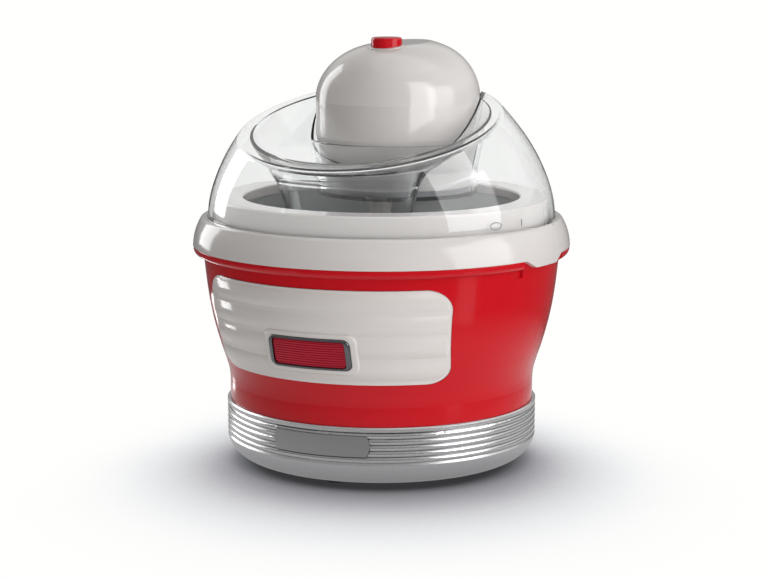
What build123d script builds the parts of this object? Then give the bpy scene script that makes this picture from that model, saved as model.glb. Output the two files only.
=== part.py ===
from build123d import *
import math
import os

# Tabletop ice cream maker: a ribbed base and a flared body that hold a double-walled
# freezer bowl, a collar and a clear domed lid with a feed chute, and a motor unit that
# stands in the lid and turns the paddle. Millimetres, +Z up, front towards -Y, origin on
# the table under the bowl's axis.

# ---------------------------------------------------------------- walls and clearances
body_wall = 2.5
skirt_wall = 3.7
cradle_wall = 2.0
jacket_wall = 2.0
liner_wall = 1.3
rim_wall = 2.2
lid_wall = 2.0
cover_wall = 2.2
seat_gap = 0.15            # between fixed pieces that fit one inside the other
slip_gap = 0.4             # between pieces that lift off or turn by hand
running_gap = 0.05         # between a shaft and its bush, on the radius
cradle_clearance = 0.8     # around the bowl in its cradle
cover_clearance = 1.5      # around the motor unit in the lid's well

# ---------------------------------------------------------------- main radii, from the collar
collar_radius = 117.6      # the widest part of the machine
collar_lean = 5.0          # how far the collar draws in at its top
flange_radius = collar_radius - 0.3
collar_top_radius = collar_radius - collar_lean
dome_radius = collar_radius - 9.6
rim_radius = dome_radius - 4.0
rim_opening_radius = rim_radius - 18.0
body_top_radius = flange_radius - 6.3
waist_radius = body_top_radius - 15.8
skirt_radius = waist_radius + 2.0
skirt_foot_radius = skirt_radius - 11.2

# ---------------------------------------------------------------- main heights, from the table up
base_lift = 4.5            # table to the underside of the base skirt
skirt_height = 36.0
body_height = 96.7         # skirt to the top face of the body's flange
collar_height = 17.5
collar_seat_depth = 5.2    # how deep the lid's foot sits in the collar
dome_height = 85.8         # collar to where the dome would close if it weren't cut off
skirt_top = base_lift + skirt_height
flange_top = skirt_top + body_height
collar_top = flange_top + collar_height
lid_foot = collar_top - collar_seat_depth
lid_crown = collar_top + dome_height
rim_top = collar_top + 12.1
bowl_floor = skirt_top + 1.5

# ---------------------------------------------------------------- ribbed base skirt
groove_pitch = 3.65
groove_count = 6
groove_depth = 0.9
first_groove = skirt_top - 3.3
skirt_bulge_top = first_groove - (groove_count - 1) * groove_pitch - 1.35
skirt_lip = 6.0            # width of the inward lip that carries the base plate
skirt_lip_thickness = 2.2
base_plate_thickness = 2.5
base_plate_bottom = base_lift + skirt_lip_thickness
foot_count = 4
foot_radius = 7.5
foot_circle = skirt_foot_radius - 18.0
base_screw_count = 3
base_screw_angle = 45.0    # the first screw, counted from the front
base_screw_circle = skirt_foot_radius - 26.0
screw_head_radius = 3.4
screw_shank_radius = 1.6
screw_head_height = 2.0

# ---------------------------------------------------------------- body, panel and badges
waist_height = skirt_top + 11.5   # top of the upright part of the waist
spigot_depth = 9.0         # how far the body reaches down inside the skirt
flange_thickness = 5.4
lug_angle = 81.5           # where the collar's lugs stand, counted from the front
lug_half_angle = 6.0
lug_drop = 4.6
lug_slant = 4.5            # extra angle of the lug where it meets the collar
lug_thickness = 3.2
panel_top = flange_top - 12.7
panel_bottom = waist_height + 14.5
panel_half_width = 0.7225 * body_top_radius
panel_foot_half_width = 0.664 * body_top_radius
panel_corner = 12.0
panel_stand = 0.8          # how far the panel stands proud of the body
panel_depth = 1.2          # how deep it is let into the body
scallop_count = 4
scallop_pitch = 14.2
scallop_height = 1.0
badge_height = panel_bottom + 18.9
frame_length = 60.0
frame_width = 25.5
frame_stand = 1.6
frame_edge = 1.2
bezel_length = 52.4
bezel_width = 19.4
bezel_stand = 1.3
bezel_end_band = 2.6
bezel_side_band = 1.4
bezel_edge = 1.2
insert_ribs = 11
insert_rib_depth = 0.35
insert_edge = 0.7
nameplate_length = 61.8
nameplate_width = 12.8
nameplate_height = skirt_top - 11.4
nameplate_turn = 1.3       # the base is turned this far round, against the body
nameplate_stand = 0.35
nameplate_depth = 1.6
nameplate_point = 2.0      # how far the middle of each end stands out
pocket_width = 9.0
pocket_height = 6.0
pocket_depth = 1.4
pocket_angle = 10.5        # from the lug's middle towards the front

# ---------------------------------------------------------------- freezer bowl
liner_floor = bowl_floor + 14.0   # inside floor of the bowl
liner_floor_radius = rim_opening_radius - 7.0
liner_corner = 16.0
rim_lip_depth = 6.0        # how far the rim reaches down inside the mouth
rim_skirt_depth = 20.1     # how far it reaches down outside
jacket_neck_radius = rim_radius - 5.0     # just under the flange
jacket_foot_radius = jacket_neck_radius - 15.0
cradle_radius = jacket_neck_radius + cradle_clearance + cradle_wall
coolant_gap = 0.25
plug_radius = 8.0
plug_centre = 40.0
pivot_radius = 3.0
pivot_height = 6.0

# ---------------------------------------------------------------- clear lid
cut_tilt = 15.0            # slope of the cut across the top of the dome, low at the front
cut_height = collar_top + 63.4    # height of that cut on the bowl's axis
upright_share = math.cos(math.radians(cut_tilt))
lip_fillet = 5.0
scoop_slope = 0.8          # the scoop's drop for each millimetre it is moved out
chute_top = collar_top + 35.3
chute_bottom = collar_top + 2.3
chute_neck = chute_top - 10.0     # where the scoop's curve meets the tube
flare_height = chute_top - 3.0
chute_flare = 2.0          # how much wider than the tube the scoop is at that height
chute_top_size = (0.435 * dome_radius, 0.222 * dome_radius)
chute_bottom_size = (0.347 * dome_radius, 0.176 * dome_radius)
chute_top_centre = -0.4815 * dome_radius
chute_bottom_centre = -0.4444 * dome_radius
well_centre = 0.2315 * dome_radius    # the motor unit's axis, behind the bowl's axis
well_radius = 0.5093 * dome_radius
well_neck_radius = 0.4722 * dome_radius
well_neck_height = collar_top + 27.3
well_rim_height = collar_top + 45.3
well_rim_fillet = 0.8
well_floor_top = collar_top + 13.5
well_floor_thickness = 2.2
bayonet_angle = 68.0
bayonet_half_angle = 8.0
bayonet_reach = 2.2
bayonet_thickness = 1.6
lid_turn = 20.0            # how far the lid turns to unlock

# ---------------------------------------------------------------- motor unit
cover_radius = well_radius - lid_wall - cover_clearance
cover_neck_radius = well_neck_radius - lid_wall - cover_clearance
motor_base_thickness = 3.0
cover_taper_top = well_rim_height + 3.0
cover_shoulder = collar_top + 69.3    # where the straight side ends and the crown begins
crown_rise = 37.4
crown_height = cover_shoulder + crown_rise
button_centre = well_centre - 17.0
button_radius = 9.6
button_stand = 7.6
button_travel = 2.5
button_face = crown_height + 3.0
button_shelf = button_face - button_stand
button_gap = 0.3           # between the button and its ring
button_ring_width = 1.7
button_ring_stand = 0.5    # how far the ring stands out of the crown
sleeve_depth = 7.0         # how far the button's sleeve reaches below the crown
sleeve_floor = 1.4
spring_radius = 5.6
cap_bottom = button_shelf - button_travel + 0.4
switch_drop = 13.0         # from the button's shelf down to the switch
switch_height = 9.0
switch_top = button_shelf - switch_drop
switch_bottom = switch_top - switch_height
lead_height = cover_shoulder + 2.0    # the mains lead's hole, above the lid's rear edge
lead_hole_radius = 5.0
motor_can_radius = 18.0
motor_can_height = 42.0
gear_module = 0.02105 * cover_neck_radius
motor_teeth = 12
idler_teeth = 38
idler_pinion_teeth = 14
output_teeth = 36
motor_offset = 46.0 * gear_module     # motor shaft behind the output shaft
output_gear_height = well_floor_top + 7.8
gear_width = 6.0
stage_gap = 1.5
deck_height = output_gear_height + 17.5
deck_thickness = 2.5
drive_shaft_radius = 5.0
bush_wall = 2.0
bush_radius = drive_shaft_radius + bush_wall
idler_pin_radius = 2.0
rotor_radius = 1.6
drive_flat = 4.2           # half width across the flats of the driving end
drive_reach = 12.0         # how far the shaft reaches below the motor unit

# ---------------------------------------------------------------- paddle
paddle_reach = liner_floor_radius - 6.0
paddle_thickness = 4.0
paddle_top = chute_bottom - 11.0
paddle_bottom = liner_floor + 4.0
paddle_bar = 9.0
paddle_corner = 12.0
window_corner = 5.0
hub_radius = 7.5
hub_top = well_floor_top + 3.3
socket_gap = 0.25
paddle_socket_floor = well_floor_top - drive_reach - 1.0

os.makedirs("parts", exist_ok=True)


def save(name, *solids):
    """Writes one or more solids as the node called name."""
    shape = solids[0] if len(solids) == 1 else Compound(children=list(solids))
    export_step(shape, "parts/" + name + ".step")


def turned(face, angle=360.0):
    """A face in the XZ plane, turned about the Z axis."""
    return revolve(face, axis=Axis.Z, revolution_arc=angle)


def ring(inner, outer, bottom, top, centre=(0, 0)):
    """A plain ring or disc, upright, between two heights."""
    solid = Cylinder(outer, top - bottom, align=(Align.CENTER, Align.CENTER, Align.MIN))
    if inner > 0:
        solid -= Cylinder(inner, top - bottom, align=(Align.CENTER, Align.CENTER, Align.MIN))
    return Pos(centre[0], centre[1], bottom) * solid


def profile(*points):
    """A closed straight-sided outline in the XZ plane, as radius and height."""
    return Plane.XZ * make_face(Polyline(*points, close=True))


def path(*points):
    """Straight lines through the points, leaving out any that repeat."""
    kept = [points[0]]
    for point in points[1:]:
        if math.dist(point, kept[-1]) > 1e-6:
            kept.append(point)
    return Polyline(*kept)


def around(angle, radius):
    """A place on a circle, with the angle counted from the front towards +X."""
    a = math.radians(angle)
    return radius * math.sin(a), -radius * math.cos(a)


def sector(half_angle, reach, bottom, top, facing=0.0):
    """A wedge about the Z axis, facing the front before it is turned by facing."""
    edge = math.radians(half_angle)
    tip = reach / math.cos(edge)
    x, y = tip * math.sin(edge), -tip * math.cos(edge)
    wedge = extrude(make_face(Polyline((0, 0), (x, y), (-x, y), close=True)), top - bottom)
    return Rot(0, 0, facing) * (Pos(0, 0, bottom) * wedge)


def front_cutter(face):
    """A face drawn in the XZ plane, extended forwards as a cutter."""
    return extrude(Plane.XZ * face, collar_radius * 1.2)


# ================================================================ body curve
def body_radius_points():
    """The flare of the body between its waist and its flange."""
    rise = flange_top - flange_thickness - waist_height
    spread = body_top_radius - waist_radius
    return [(waist_radius, waist_height),
            (waist_radius + 0.26 * spread, waist_height + 0.235 * rise),
            (waist_radius + 0.63 * spread, waist_height + 0.49 * rise),
            (body_top_radius, waist_height + rise)]


def body_curve(offset):
    points = [(r + offset, z) for r, z in body_radius_points()]
    return Spline(*points, tangents=[(0, 1), (0.1, 1)])


def body_face(offset, bottom, top):
    """The solid of revolution inside the body curve, moved out by offset."""
    curve = body_curve(offset)
    start, end = curve @ 0, curve @ 1
    rest = path((end.X, end.Y), (end.X, top), (0, top), (0, bottom),
                (start.X, bottom), (start.X, start.Y))
    return Plane.XZ * make_face([curve, rest])


# ================================================================ base
def base_skirt():
    groove_radius = skirt_radius - groove_depth
    edges = []
    top_edge = (skirt_radius, skirt_top - 0.8)
    edges.append(Line((skirt_radius - skirt_wall, skirt_top), (skirt_radius - 0.8, skirt_top)))
    edges.append(Line((skirt_radius - 0.8, skirt_top), top_edge))
    lip_foot = (skirt_radius, first_groove + 0.7)
    edges.append(Line(top_edge, lip_foot))
    edges.append(Line(lip_foot, (groove_radius, first_groove)))
    height = first_groove
    for _ in range(groove_count - 1):
        below = height - groove_pitch
        edges.append(ThreePointArc((groove_radius, height),
                                   (skirt_radius, (height + below) / 2),
                                   (groove_radius, below)))
        height = below
    bulge = (skirt_radius - 0.1, skirt_bulge_top)
    edges.append(Line((groove_radius, height), bulge))
    edges.append(ThreePointArc(bulge, (skirt_radius - 3.1, base_lift + 5.8),
                               (skirt_foot_radius, base_lift)))
    lip_radius = skirt_foot_radius - skirt_lip
    inner = skirt_radius - skirt_wall
    shelf = base_lift + skirt_lip_thickness
    edges.append(Polyline((skirt_foot_radius, base_lift), (lip_radius, base_lift),
                          (lip_radius, shelf), (skirt_foot_radius, shelf),
                          (inner, skirt_bulge_top), (inner, skirt_top)))
    solid = turned(Plane.XZ * make_face(edges))
    plate_seat = nameplate_blank(seat_gap)
    return solid - plate_seat


def nameplate_outline(clearance):
    """The pointed outline of the nameplate, seen from the front."""
    x = nameplate_length / 2 - nameplate_point + clearance
    z = nameplate_width / 2 + clearance
    tip = x + nameplate_point
    left = ThreePointArc((-x, -z), (-tip, 0), (-x, z))
    right = ThreePointArc((x, z), (tip, 0), (x, -z))
    outline = make_face([left, Line((-x, z), (x, z)), right, Line((x, -z), (-x, -z))])
    return Pos(0, nameplate_height) * outline


def nameplate_blank(clearance):
    bottom = nameplate_height - nameplate_width
    top = nameplate_height + nameplate_width
    band = ring(skirt_radius - nameplate_depth - clearance, skirt_radius + nameplate_stand,
                bottom, top)
    return Rot(0, 0, nameplate_turn) * (band & front_cutter(nameplate_outline(clearance)))


def base_nameplate():
    plate = nameplate_blank(0)
    front_edges = plate.edges().filter_by(lambda e: e.length > nameplate_length * 0.8)
    outer = [e for e in front_edges if math.hypot(e.center().X, e.center().Y) > skirt_radius - 0.5]
    return fillet(outer, 0.3) if outer else plate


def base_plate():
    radius = skirt_foot_radius - seat_gap
    top = base_plate_bottom + base_plate_thickness
    plate = ring(0, radius, base_plate_bottom, top)
    for i in range(base_screw_count):
        x, y = around(base_screw_angle + i * 360 / base_screw_count, base_screw_circle)
        plate -= ring(0, screw_shank_radius + seat_gap, base_plate_bottom, top, (x, y))
    for i in range(8):
        slot = Box(3.0, 26.0, base_plate_thickness * 2)
        plate -= Rot(0, 0, i * 45.0) * Pos(0, 34.0, base_plate_bottom) * slot
    for x, y in foot_places():
        stub = screw_shank_radius + seat_gap
        plate -= ring(0, stub, base_plate_bottom, top, (x, y))
    return plate


def foot_places():
    return [around(i * 360 / foot_count, foot_circle) for i in range(foot_count)]


def rubber_feet():
    feet = []
    for x, y in foot_places():
        pad = ring(0, foot_radius, 0, base_plate_bottom, (x, y))
        pad = chamfer(pad.edges().sort_by(Axis.Z)[0], 1.0)
        stub = ring(0, screw_shank_radius, base_plate_bottom,
                    base_plate_bottom + base_plate_thickness, (x, y))
        feet.append(pad + stub)
    return feet


def base_screws():
    """Three screws up through the base plate into posts under the cradle."""
    screws = []
    for i in range(base_screw_count):
        x, y = around(base_screw_angle + i * 360 / base_screw_count, base_screw_circle)
        head = ring(0, screw_head_radius, base_plate_bottom - screw_head_height,
                    base_plate_bottom, (x, y))
        shank_top = base_plate_bottom + base_plate_thickness + 12.0
        shank = ring(0, screw_shank_radius, base_plate_bottom, shank_top, (x, y))
        slot = Pos(x, y, base_plate_bottom - screw_head_height) * Box(5.0, 1.0, 1.6)
        screws.append(head + shank - slot)
    return screws


# ================================================================ body
def body_shell():
    outside = turned(body_face(0, skirt_top, flange_top))
    flange = ring(0, flange_radius, flange_top - flange_thickness, flange_top)
    flange = fillet(flange.edges().sort_by(Axis.Z)[0], flange_thickness * 0.7)
    flange = fillet(flange.edges().sort_by(Axis.Z)[-1], 0.6)
    spigot_radius = skirt_radius - skirt_wall - seat_gap
    spigot = ring(0, spigot_radius, skirt_top - spigot_depth, skirt_top)
    solid = outside + flange + spigot
    hollow = turned(body_face(-body_wall, skirt_top - 1, flange_top - flange_thickness))
    spigot_hollow = ring(0, spigot_radius - body_wall, skirt_top - spigot_depth, skirt_top + 1)
    mouth = ring(0, cradle_radius + seat_gap, flange_top - flange_thickness, flange_top)
    solid -= hollow + spigot_hollow + mouth
    for side in (lug_angle, -lug_angle):
        solid -= lug_notch(lug_half_angle + lug_slant + 1.0, slip_gap, side)
        pocket = Box(pocket_width, 2 * pocket_depth, pocket_height)
        x, y = around(side - math.copysign(pocket_angle, side), body_top_radius)
        place = Pos(x, y, flange_top - flange_thickness - pocket_height / 2 + 0.5)
        solid -= place * Rot(0, 0, side) * pocket
    return solid - panel_blank(seat_gap, 0)


def lug_notch(half_angle, clearance, side):
    """The open notch in the flange that one collar lug drops into."""
    inner = flange_radius - lug_thickness - clearance
    band = ring(inner, collar_radius + 2, flange_top - flange_thickness - 1, flange_top)
    return band & sector(half_angle, collar_radius * 2, 0, flange_top + 1, side)


def panel_outline(clearance):
    """The panel's rounded outline, seen from the front, a little wider at the top."""
    top_x = panel_half_width + clearance
    foot_x = panel_foot_half_width + clearance
    top_z, foot_z = panel_top + clearance, panel_bottom - clearance
    outline = make_face(Polyline((-foot_x, foot_z), (foot_x, foot_z), (top_x, top_z),
                                 (-top_x, top_z), close=True))
    return fillet(outline.vertices(), panel_corner)


def panel_blank(clearance, stand):
    """The panel before its ribs: a skin that follows the flare of the body."""
    outside = turned(body_face(stand, skirt_top, flange_top))
    inside = turned(body_face(-panel_depth - clearance, skirt_top - 1, flange_top + 1))
    return (outside - inside) & front_cutter(panel_outline(clearance))


def front_panel():
    """A white panel with four soft scalloped ribs and a raised frame for the badge."""
    skin = panel_blank(0, panel_stand)
    scallops = []
    for i in range(scallop_count):
        top = panel_top - i * scallop_pitch
        middle = top - scallop_pitch / 2
        radius = body_radius_at(middle) + panel_stand - 0.6
        drop = body_radius_at(top) - body_radius_at(top - scallop_pitch)
        lean = math.degrees(math.atan2(drop, scallop_pitch))
        bump = ThreePointArc((0, -scallop_pitch / 2), (scallop_height + 0.6, 0),
                             (0, scallop_pitch / 2))
        face = make_face([bump, Line((0, scallop_pitch / 2), (0, -scallop_pitch / 2))])
        face = Pos(radius, middle) * Rot(0, 0, -lean) * face
        scallops.append(turned(Plane.XZ * face))
    outline = front_cutter(panel_outline(-1.0))
    for bump in scallops:
        skin += bump & outline
    frame = frame_blank(frame_length, frame_width, panel_stand + frame_stand, 5.5)
    skin += softened(frame, frame_edge)
    seat = frame_blank(bezel_length + 2 * seat_gap, bezel_width + 2 * seat_gap,
                       panel_stand + frame_stand + 5, 4.5)
    seat -= turned(body_face(panel_stand, skirt_top, flange_top))
    return skin - seat


def body_radius_at(height):
    """The body's outer radius at a height, read off its curve."""
    curve = body_curve(0)
    low, high = 0.0, 1.0
    for _ in range(30):
        middle = (low + high) / 2
        if (curve @ middle).Y < height:
            low = middle
        else:
            high = middle
    return (curve @ low).X


def frame_blank(length, width, stand, corner):
    """A rounded block on the panel, centred on the badge."""
    outline = Pos(0, badge_height) * RectangleRounded(length, width, corner)
    outside = turned(body_face(stand, skirt_top, flange_top))
    inside = turned(body_face(0.0, skirt_top - 1, flange_top + 1))
    return (outside - inside) & front_cutter(outline)


def softened(solid, radius):
    """Rounds the edges around the front face of a block on the panel."""
    front = solid.faces().sort_by(SortBy.AREA)[-2:].sort_by(Axis.Y)[0]
    return fillet(front.outer_wire().edges(), radius)


def badge_bezel():
    outer = frame_blank(bezel_length, bezel_width, panel_stand + frame_stand + bezel_stand, 4.5)
    outer -= turned(body_face(panel_stand, skirt_top - 1, flange_top + 1))
    outer = softened(outer, bezel_edge)
    inner = frame_blank(bezel_length - 2 * bezel_end_band, bezel_width - 2 * bezel_side_band,
                        panel_stand + frame_stand + bezel_stand + 5, 2.6)
    return outer - inner


def badge_insert():
    """The coloured insert of the badge, with fine level ribs across it."""
    length = bezel_length - 2 * bezel_end_band - 2 * seat_gap
    width = bezel_width - 2 * bezel_side_band - 2 * seat_gap
    stand = panel_stand + frame_stand + bezel_stand - 0.9
    solid = frame_blank(length, width, stand, 2.5)
    solid -= turned(body_face(panel_stand, skirt_top - 1, flange_top + 1))
    solid = softened(solid, insert_edge)
    pitch = width / insert_ribs
    for i in range(1, insert_ribs):
        height = badge_height - width / 2 + i * pitch
        radius = body_radius_at(height) + stand
        solid -= ring(radius - insert_rib_depth, radius + 3, height - pitch * 0.2,
                      height + pitch * 0.2)
    return solid


# ================================================================ cradle and bowl
def bowl_cradle():
    """The cup inside the body that the freezer bowl stands in, with posts for the base."""
    top_r = cradle_radius
    foot_r = jacket_foot_radius + cradle_clearance + cradle_wall
    floor_bottom = bowl_floor - cradle_wall
    solid = turned(profile((0, floor_bottom), (foot_r - 4, floor_bottom), (foot_r, floor_bottom + 4),
                           (top_r, flange_top - 12), (top_r, flange_top - 0.3), (0, flange_top - 0.3)))
    in_top = top_r - cradle_wall
    in_foot = foot_r - cradle_wall
    solid -= turned(profile((0, bowl_floor), (in_foot - 4, bowl_floor), (in_foot, bowl_floor + 4),
                            (in_top, flange_top - 12), (in_top, flange_top + 1), (0, flange_top + 1)))
    post_bottom = base_plate_bottom + base_plate_thickness
    for i in range(base_screw_count):
        place = around(base_screw_angle + i * 360 / base_screw_count, base_screw_circle)
        post = ring(screw_shank_radius + seat_gap, 5.0, post_bottom, floor_bottom, place)
        solid += post
    return solid


def jacket_outline(inset):
    """Half of the bowl's outside, from its floor to its rim, moved in by inset."""
    foot = jacket_foot_radius - inset
    neck = jacket_neck_radius - inset
    shoulder = rim_radius - rim_wall - seat_gap - inset
    bottom = bowl_floor + inset
    top = rim_top - rim_wall
    neck_z = flange_top - 2.0
    return [(0, bottom), (foot - 6, bottom), (foot, bottom + 6), (neck, neck_z),
            (shoulder, neck_z + 9.0), (shoulder, top), (0, top)]


def bowl_jacket():
    solid = turned(profile(*jacket_outline(0)))
    inside = [(r, z + (1 if z > rim_top - rim_wall - 0.01 else 0))
              for r, z in jacket_outline(jacket_wall)]
    solid -= turned(profile(*inside))
    solid -= ring(0, plug_radius + seat_gap, bowl_floor - 1, bowl_floor + jacket_wall + 1, (plug_centre, 0))
    return solid


def liner_face(offset, top):
    """Half of the bowl's inside: a deep pan with a round corner at its floor."""
    mouth = rim_opening_radius + rim_wall + seat_gap + offset
    floor_r = liner_floor_radius + offset
    floor_z = liner_floor - offset
    neck = rim_top - rim_lip_depth - 1.5
    outline = make_face(Polyline((0, floor_z), (floor_r, floor_z), (mouth, neck), (mouth, top),
                                 (0, top), close=True))
    knee = outline.vertices().sort_by(lambda v: math.hypot(v.X - floor_r, v.Y - floor_z))[0]
    return Plane.XZ * fillet(knee, liner_corner)


def bowl_liner():
    top = rim_top - rim_wall
    solid = turned(liner_face(liner_wall, top)) - turned(liner_face(0, top + 1))
    return solid + ring(0, pivot_radius, liner_floor - 0.5, liner_floor + pivot_height)


def coolant_fill():
    """The gel sealed between the jacket and the liner."""
    top = rim_top - 14.0
    inset = jacket_wall + coolant_gap
    outline = [(r, min(z, top)) for r, z in jacket_outline(inset)][:-2]
    outline += [(jacket_outline(inset)[4][0], top), (0, top)]
    solid = turned(profile(*outline))
    solid -= turned(liner_face(liner_wall + coolant_gap, top + 1))
    return solid - ring(0, plug_radius + 1.5, bowl_floor, bowl_floor + jacket_wall + 3, (plug_centre, 0))


def bowl_rim():
    """The moulded ring that closes the top of the bowl."""
    bottom = rim_top - rim_skirt_depth
    solid = ring(rim_opening_radius, rim_radius, bottom, rim_top)
    top_edges = solid.edges().filter_by(GeomType.CIRCLE).group_by(Axis.Z)[-1]
    solid = fillet(top_edges, 1.2)
    solid -= ring(rim_opening_radius + rim_wall, rim_radius - rim_wall, bottom,
                  rim_top - rim_wall)
    return solid - ring(0, rim_opening_radius + rim_wall + 1, bottom, rim_top - rim_lip_depth)


def fill_plug():
    return ring(0, plug_radius, bowl_floor + 0.3, bowl_floor + jacket_wall + 1.0, (plug_centre, 0))


# ================================================================ collar
def collar_ring():
    """The white collar: a channel that sits on the flange and takes the lid's foot."""
    seat_r = dome_radius + slip_gap
    inner_r = rim_radius + 1.3
    bulge = ThreePointArc((collar_radius, flange_top), (collar_radius - 1.1, flange_top + 7.5),
                          (collar_top_radius + 0.4, collar_top - 1.6))
    shoulder = ThreePointArc((collar_top_radius + 0.4, collar_top - 1.6),
                             (collar_top_radius - 0.6, collar_top - 0.4),
                             (collar_top_radius - 2.0, collar_top))
    rest = Polyline((collar_top_radius - 2.0, collar_top), (seat_r, collar_top),
                    (seat_r, lid_foot), (inner_r, lid_foot), (inner_r, flange_top),
                    (inner_r + 2.2, flange_top), (inner_r + 2.2, lid_foot - 2.2),
                    (collar_radius - 5.0, lid_foot - 2.2), (collar_radius - 2.6, flange_top),
                    (collar_radius, flange_top))
    solid = turned(Plane.XZ * make_face([bulge, shoulder, rest]))
    slot_r = dome_radius + bayonet_reach + slip_gap
    slot_top = lid_foot + bayonet_thickness + slip_gap
    for side in (bayonet_angle, bayonet_angle + 180):
        track = ring(seat_r - 1, slot_r, lid_foot, slot_top)
        span = bayonet_half_angle + lid_turn / 2 + 1
        solid -= track & sector(span, collar_radius * 2, 0, collar_top + 5, side + lid_turn / 2)
        entry = ring(seat_r - 1, slot_r, lid_foot, collar_top + 1)
        solid -= entry & sector(bayonet_half_angle + 1, collar_radius * 2, 0, collar_top + 5,
                                side + lid_turn)
    for side in (lug_angle, -lug_angle):
        solid += collar_lug(side)
    return solid


def collar_lug(side):
    """A tab with sloping ends that drops into a notch of the flange."""
    outer = ring(flange_radius - lug_thickness, collar_radius, flange_top - lug_drop, flange_top)
    wide = math.radians(lug_half_angle + lug_slant)
    narrow = math.radians(lug_half_angle)
    top_x, foot_x = collar_radius * math.sin(wide), collar_radius * math.sin(narrow)
    face = make_face(Polyline((-top_x, flange_top), (-foot_x, flange_top - lug_drop),
                              (foot_x, flange_top - lug_drop), (top_x, flange_top), close=True))
    return Rot(0, 0, side) * (outer & front_cutter(face))


# ================================================================ lid
def dome_face(inset):
    """Half of the dome, from the lid's foot to its crown, moved in by inset."""
    height = lid_crown - collar_top
    r = dome_radius - inset
    crown = lid_crown - inset
    curve = Spline((r, collar_top), (r - 0.042 * dome_radius, collar_top + 0.27 * height),
                   (r - 0.173 * dome_radius, collar_top + 0.585 * height),
                   (r - 0.297 * dome_radius, collar_top + 0.778 * height),
                   (0, crown), tangents=[(0, 1), (-1, 0)])
    foot = lid_foot if inset == 0 else lid_foot - 5
    rest = Polyline((0, crown), (0, foot), (r, foot), (r, collar_top))
    return Plane.XZ * make_face([curve, rest])


def tilted_circle(radius, centre_y, centre_z, tilt):
    return Plane((0, centre_y, centre_z)) * Rot(tilt, 0, 0) * Circle(radius)


def chute_section(height):
    """Half lengths and the centre of the feed tube's oval at a height."""
    share = (height - chute_bottom) / (chute_top - chute_bottom)
    ends = zip(chute_bottom_size + (chute_bottom_centre,), chute_top_size + (chute_top_centre,))
    return [low + share * (high - low) for low, high in ends]


def oval(offset, height, flare=0.0):
    """The feed tube's oval at a height, widened by offset and by its flare."""
    a, b, y = chute_section(height)
    return Pos(0, y, height) * Ellipse(a + offset + flare, b + offset + flare)


def funnel(offset):
    """The scoop from the cut of the dome down into the feed tube, widened by offset.

    Each circle has a radius and a place behind the axis as shares of the dome's radius, a
    height over the collar, and a tilt. Below them the scoop runs smoothly into the tube.
    """
    circles = [(0.5556, -0.2593, 44.8, 9), (0.6296, -0.1944, 53.3, 13),
               (0.6944, -0.1204, 61.8, 16), (0.7778, -0.0463, 74.3, 18)]
    drop = offset * scoop_slope
    tube = [oval(offset, chute_neck - drop), oval(offset, flare_height - drop, chute_flare)]
    return loft(tube + [tilted_circle(r * dome_radius + offset, y * dome_radius,
                                      collar_top + z - drop, t) for r, y, z, t in circles])


def chute(offset, top, bottom):
    """The oval feed tube, narrower towards its lower end, widened by offset."""
    return loft([oval(offset, top), oval(offset, bottom)])


def well(inset, bottom, top):
    """The space of the motor well: a cone below its rim and a cylinder above."""
    neck = well_neck_radius - inset
    wide = well_radius - inset
    low, high = well_neck_height - 40, lid_crown + 20
    solid = turned(profile((0, low), (neck, low), (neck, well_neck_height),
                           (wide, well_rim_height), (wide, high), (0, high)))
    solid &= ring(0, wide + 5, bottom, top)
    return Pos(0, well_centre, 0) * solid


def above_cut(lower):
    """Everything above the sloping cut of the dome, lowered by lower."""
    block = Box(400, 400, 120, align=(Align.CENTER, Align.CENTER, Align.MIN))
    return Pos(0, 0, cut_height - lower) * Rot(cut_tilt, 0, 0) * block


def cut_dome(inset):
    """The dome as a solid moved in by inset, cut off at its slope, with the rim rounded."""
    solid = turned(dome_face(inset)) - above_cut(inset / math.cos(math.radians(cut_tilt)))
    land = solid.faces().sort_by(lambda face: abs(face.normal_at().Z - upright_share))[0]
    return fillet(land.outer_wire().edges(), lip_fillet - inset)


def lid_dome():
    """The clear lid: dome, sloping lip, scoop, feed chute and motor well in one moulding."""
    floor_bottom = well_floor_top - well_floor_thickness
    wall = well(0, floor_bottom, lid_crown)
    tower = well(lid_wall, well_floor_top, lid_crown + 5)
    air = cut_dome(lid_wall) - funnel(lid_wall)
    air = air - chute(lid_wall, chute_neck - lid_wall * scoop_slope, chute_bottom) - wall
    solid = cut_dome(0) - funnel(0) - tower - chute(0, chute_neck, chute_bottom - 20) - air
    collar = well(0, well_neck_height, well_rim_height)
    solid += fillet(collar.edges().group_by(Axis.Z)[-1], well_rim_fillet) - tower
    solid -= ring(0, dome_radius - lid_wall, lid_foot - 30, lid_foot)
    solid -= ring(0, hub_radius + slip_gap, floor_bottom - 1, well_floor_top + 1)
    for side in (bayonet_angle, bayonet_angle + 180):
        tab = ring(dome_radius - 1, dome_radius + bayonet_reach, lid_foot,
                   lid_foot + bayonet_thickness)
        solid += tab & sector(bayonet_half_angle, collar_radius * 2, 0, collar_top, side)
    return solid


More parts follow.
